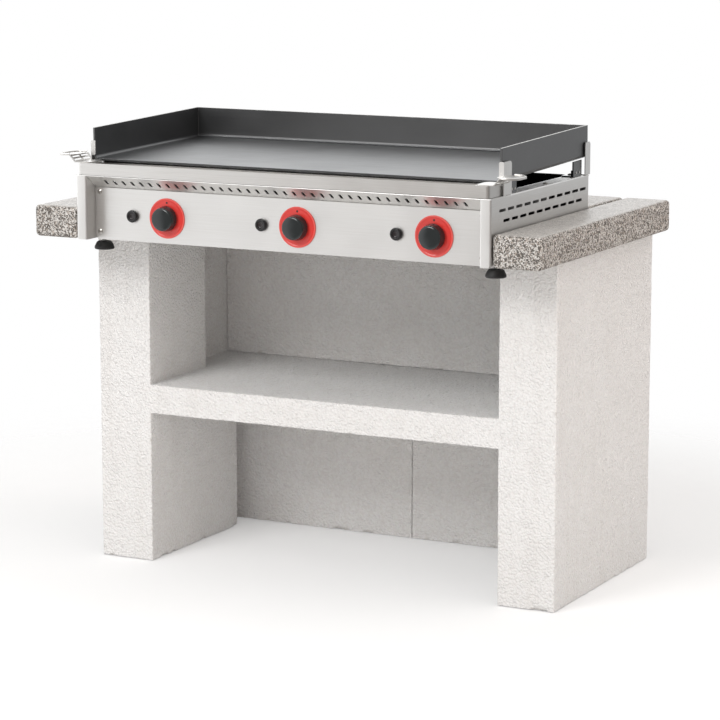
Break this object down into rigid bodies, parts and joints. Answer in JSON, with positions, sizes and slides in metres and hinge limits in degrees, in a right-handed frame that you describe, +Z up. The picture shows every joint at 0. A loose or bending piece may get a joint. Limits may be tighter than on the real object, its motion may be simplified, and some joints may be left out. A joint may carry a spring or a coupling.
{
  "type": "gas griddle",
  "caption": "Flat-top gas griddle with knobs, igniters, grease tray and lift-off plate, standing on a masonry stand with a shelf and stone-chip worktops.",
  "frame": {"origin": "on the floor, under the middle of the whole object's bounding box", "axes": "+X to the user's right, along the control panel; +Y away from the user; +Z up"},
  "size_m": [0.979, 0.587, 0.8124],
  "materials": {
    "masonry": "matt",
    "aggregate": "matt",
    "stainless": "brushed",
    "zinc_plated": "satin",
    "enamel": "gloss",
    "griddle_steel": "satin",
    "red_plastic": "gloss",
    "knob_plastic": "gloss",
    "black_plastic": "matt",
    "brass": "satin",
    "burner_steel": "satin",
    "ceramic": "matt",
    "lead_rubber": "matt",
    "rubber": "matt"
  },
  "bodies": {
    "frame": {"left_outer_wall": "masonry", "right_outer_wall": "masonry", "left_lower_wall": "masonry", "right_lower_wall": "masonry", "left_upper_wall": "masonry", "right_upper_wall": "masonry", "shelf": "masonry", "left_back_board": "masonry", "right_back_board": "masonry", "upper_back_board": "masonry", "left_worktop": "aggregate", "right_worktop": "aggregate", "rear_worktop": "aggregate", "left_side_panel": "stainless", "right_side_panel": "stainless", "front_rail": "stainless", "control_panel": "stainless", "rear_panel": "stainless", "left_front_post": "stainless", "right_front_post": "stainless", "left_rear_post": "stainless", "right_rear_post": "stainless", "screws": "stainless", "base_pan": "zinc_plated", "gas_manifold": "zinc_plated", "burner_box": "enamel", "plate_rests": "enamel", "left_bezel": "red_plastic", "middle_bezel": "red_plastic", "right_bezel": "red_plastic", "left_igniter": "black_plastic", "middle_igniter": "black_plastic", "right_igniter": "black_plastic", "left_valve": "brass", "middle_valve": "brass", "right_valve": "brass", "gas_inlet": "brass", "injectors": "brass", "left_burner": "burner_steel", "middle_burner": "burner_steel", "right_burner": "burner_steel", "electrodes": "ceramic", "igniter_leads": "lead_rubber", "feet": "rubber"},
    "griddle_plate": {"griddle_plate": "griddle_steel"},
    "grease_tray": {"grease_tray": "stainless", "left_tray_handle": "stainless", "right_tray_handle": "stainless"},
    "left_push_ring": {"left_thrust_ring": "brass"},
    "left_knob": {"left_knob": "knob_plastic", "left_stem": "stainless"},
    "left_button": {"left_button": "black_plastic"},
    "middle_push_ring": {"middle_thrust_ring": "brass"},
    "middle_knob": {"middle_knob": "knob_plastic", "middle_stem": "stainless"},
    "middle_button": {"middle_button": "black_plastic"},
    "right_push_ring": {"right_thrust_ring": "brass"},
    "right_knob": {"right_knob": "knob_plastic", "right_stem": "stainless"},
    "right_button": {"right_button": "black_plastic"}
  },
  "joints": [
    {"name": "griddle_plate_lift", "type": "slide", "parent": "frame", "child": "griddle_plate", "axis": [0, 0, 1], "range_m": [0, 0.12]},
    {"name": "grease_tray_slide", "type": "slide", "parent": "frame", "child": "grease_tray", "axis": [0, -1, 0], "range_m": [0, 0.07]},
    {"name": "left_knob_push", "type": "slide", "parent": "frame", "child": "left_push_ring", "axis": [0, 1, 0], "range_m": [0, 0.003], "stiffness_N_per_m": 900, "springref_m": -0.004},
    {"name": "left_knob_turn", "type": "hinge", "parent": "left_push_ring", "child": "left_knob", "pos_m": [-0.233, -0.263, 0.6545], "axis": [0, -1, 0], "range_deg": [0, 210]},
    {"name": "middle_knob_push", "type": "slide", "parent": "frame", "child": "middle_push_ring", "axis": [0, 1, 0], "range_m": [0, 0.003], "stiffness_N_per_m": 900, "springref_m": -0.004},
    {"name": "middle_knob_turn", "type": "hinge", "parent": "middle_push_ring", "child": "middle_knob", "pos_m": [0.025, -0.263, 0.6545], "axis": [0, -1, 0], "range_deg": [0, 210]},
    {"name": "right_knob_push", "type": "slide", "parent": "frame", "child": "right_push_ring", "axis": [0, 1, 0], "range_m": [0, 0.003], "stiffness_N_per_m": 900, "springref_m": -0.004},
    {"name": "right_knob_turn", "type": "hinge", "parent": "right_push_ring", "child": "right_knob", "pos_m": [0.283, -0.263, 0.6545], "axis": [0, -1, 0], "range_deg": [0, 210]},
    {"name": "left_igniter_push", "type": "slide", "parent": "frame", "child": "left_button", "axis": [0, 1, 0], "range_m": [0, 0.004], "stiffness_N_per_m": 1200, "springref_m": -0.003},
    {"name": "middle_igniter_push", "type": "slide", "parent": "frame", "child": "middle_button", "axis": [0, 1, 0], "range_m": [0, 0.004], "stiffness_N_per_m": 1200, "springref_m": -0.003},
    {"name": "right_igniter_push", "type": "slide", "parent": "frame", "child": "right_button", "axis": [0, 1, 0], "range_m": [0, 0.004], "stiffness_N_per_m": 1200, "springref_m": -0.003}
  ]
}
